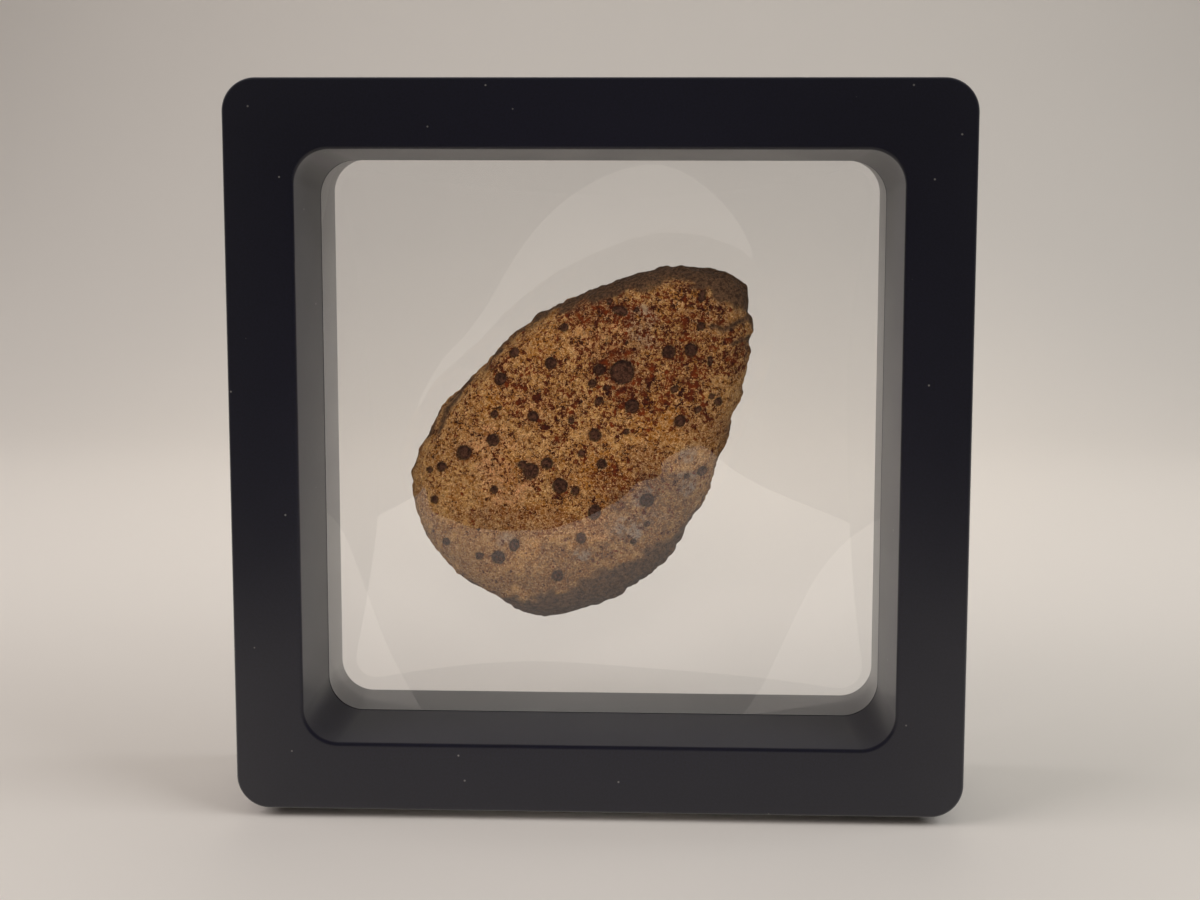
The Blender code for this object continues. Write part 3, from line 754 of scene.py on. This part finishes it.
def film_heights(side, x, up):
    """How far the film stands from its edge's plane.

    A taut film without a load has at each point the mean height of the points around it, so the heights are
    averaged over and over, with none allowed below the osteoderm. They start from the height's fall with the
    logarithm of the distance, which is that of a round osteoderm in a round frame.
    """
    away_x, away_up = x - CENTRE[0], up - CENTRE[1]
    angles, distances = np.arctan2(away_up, away_x), np.hypot(away_x, away_up)
    shares = distances / reach(OUTLINE, RIM_NEARNESS, angles)
    bone = mean_height(side, np.minimum(shares, 1), angles)
    bone = np.where(shares < 1, bone + FILM_LIFT, 0)
    edge = WAIST_SIDE / 2 / np.maximum(abs(np.cos(angles)), abs(np.sin(angles)))
    fall = FRONT_HEIGHT * np.log2(edge / np.maximum(distances, MM))
    corner_x, corner_up = (np.maximum(abs(v) - (WAIST_SIDE / 2 - WAIST_RADIUS), 0) for v in (x, up))
    free = np.hypot(corner_x, corner_up) < WAIST_RADIUS
    heights = np.where(free, np.maximum(bone, np.minimum(fall, FRONT_HEIGHT)), 0)
    for _ in range(FILM_ROUNDS):
        around = (heights[2:, 1:-1] + heights[:-2, 1:-1] + heights[1:-1, 2:] + heights[1:-1, :-2]) / 4
        heights[1:-1, 1:-1] = np.maximum(around, bone[1:-1, 1:-1]) * free[1:-1, 1:-1]
    return heights


def film(name, side, clear):
    """One film: a sheet of even thickness, flat at its edge and swollen over the osteoderm."""
    span = np.linspace(-FILM_SIDE / 2, FILM_SIDE / 2, FILM_STEPS + 1)
    x, up = np.meshgrid(span, span, indexing="ij")
    inner = FILM_GAP / 2 + film_heights(side, x, up)
    sheets = [seen_from_front(x, up, side * (inner + added)) for added in (0, FILM_THICKNESS)]
    index = np.arange(x.size).reshape(x.shape)
    rim = np.concatenate((index[0, :-1], index[:-1, -1], index[-1, :0:-1], index[:0:-1, 0]))
    edge = grid_faces(np.stack((rim, rim + x.size)), closed_columns=True)
    faces = np.concatenate((grid_faces(index), grid_faces(index + x.size)[:, ::-1], edge[:, ::-1]))
    points = np.concatenate([sheet.reshape(-1, 3) for sheet in sheets])
    piece = add_piece(name, points, faces, clear, crease=FILM_CREASE)
    piece.visible_shadow = False  # so thin and clear that it throws none
    return piece


# Stage


def stage(paper):
    """A table that turns up into a wall, as one sheet: its section, carried along x.

    The section runs level from the front edge, up a quarter circle and on to the top. The lit table ends just
    in front of the frame. The rest of the studio, a table and wall like it turned round, shows to the eye
    alone: it gives no mirror image, light or shade, as the room is dark there.
    """
    bend = np.linspace(0, math.pi / 2, SWEEP_STEPS + 1)
    run = np.append(SWEEP_START + SWEEP_RADIUS * np.sin(bend), SWEEP_START + SWEEP_RADIUS)
    rise = np.concatenate(([0], SWEEP_RADIUS * (1 - np.cos(bend)), [SWEEP_TOP]))
    x, front = np.array(TABLE_FRONT).T[..., None]
    for name, side, further, gap in (("paper_sweep", 1, 0, 0), ("paper_room", -1, ROOM_FURTHER, ROOM_GAP)):
        y = np.hstack((front - gap, np.tile(side * (run + further), (len(x), 1))))
        points = np.stack(np.broadcast_arrays(x, y, rise + FLOOR), axis=-1).reshape(-1, 3)
        faces = grid_faces(np.arange(y.size).reshape(y.shape))
        mesh = bpy.data.meshes.new(name)
        mesh.from_pydata(points, [], faces[:, ::side])
        mesh.shade_smooth()
        mesh.materials.append(paper)
        sheet = bpy.data.objects.new(name, mesh)
        bpy.context.scene.collection.objects.link(sheet)
        if side == -1:
            sheet.visible_glossy = sheet.visible_transmission = False
            sheet.visible_diffuse = sheet.visible_shadow = False


def light():
    """Softboxes round the table, and the dim room.

    The lamps are hidden from mirror images, so that none glares on a film.
    """
    scene = bpy.context.scene
    scene.view_settings.view_transform = "Standard"
    scene.world = bpy.data.worlds.new("dim_room")
    scene.world.use_nodes = True
    room = scene.world.node_tree.nodes["Background"]
    room.inputs["Color"].default_value = colour(ROOM_COLOUR)
    room.inputs["Strength"].default_value = ROOM_STRENGTH
    for name, place, aim, size, spread, power, tint in LAMPS:
        lamp = bpy.data.lights.new(name, "AREA")
        lamp.energy, lamp.size, lamp.spread, lamp.color = power, size, math.radians(spread), colour(tint)[:3]
        box = bpy.data.objects.new(name, lamp)
        scene.collection.objects.link(box)
        box.visible_glossy = box.visible_transmission = False
        away = Vector(place) - Vector(aim)
        box.matrix_world = Matrix.Translation(place) @ away.to_track_quat("Z", "Y").to_matrix().to_4x4()


def camera():
    """A wide lens close in front, a little above and to the right of the frame's middle."""
    scene = bpy.context.scene
    lens = bpy.data.cameras.new("camera")
    lens.sensor_width, lens.lens = CAMERA_SENSOR, CAMERA_LENS
    lens.shift_x, lens.shift_y = CAMERA_SHIFT
    lens.clip_start = CAMERA_NEAREST
    scene.camera = bpy.data.objects.new("camera", lens)
    scene.collection.objects.link(scene.camera)
    scene.camera.matrix_world = (
        Matrix.Translation(CAMERA_PLACE)
        @ Matrix.Rotation(CAMERA_YAW, 4, "Z")
        @ Matrix.Rotation(math.pi / 2 - CAMERA_PITCH, 4, "X")
        @ Matrix.Rotation(CAMERA_ROLL, 4, "Z")
    )


def main():
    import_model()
    camera()
    light()
    stage(seamless_paper())
    plastic, clear, bone = spark_eroded_plastic(), clear_film(), fossil_bone()
    for piece, node, slot in (
        (frame_half("front_half", FRONT, plastic), "frame_front", "black_plastic"),
        (frame_half("back_half", BACK, plastic), "frame_back", "black_plastic"),
        (film("front_sheet", FRONT, clear), "film_front", "clear_film"),
        (film("back_sheet", BACK, clear), "film_back", "clear_film"),
        (osteoderm(bone), "osteoderm", "fossil_bone"),
    ):
        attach(piece, "root")
        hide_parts(node)


main()
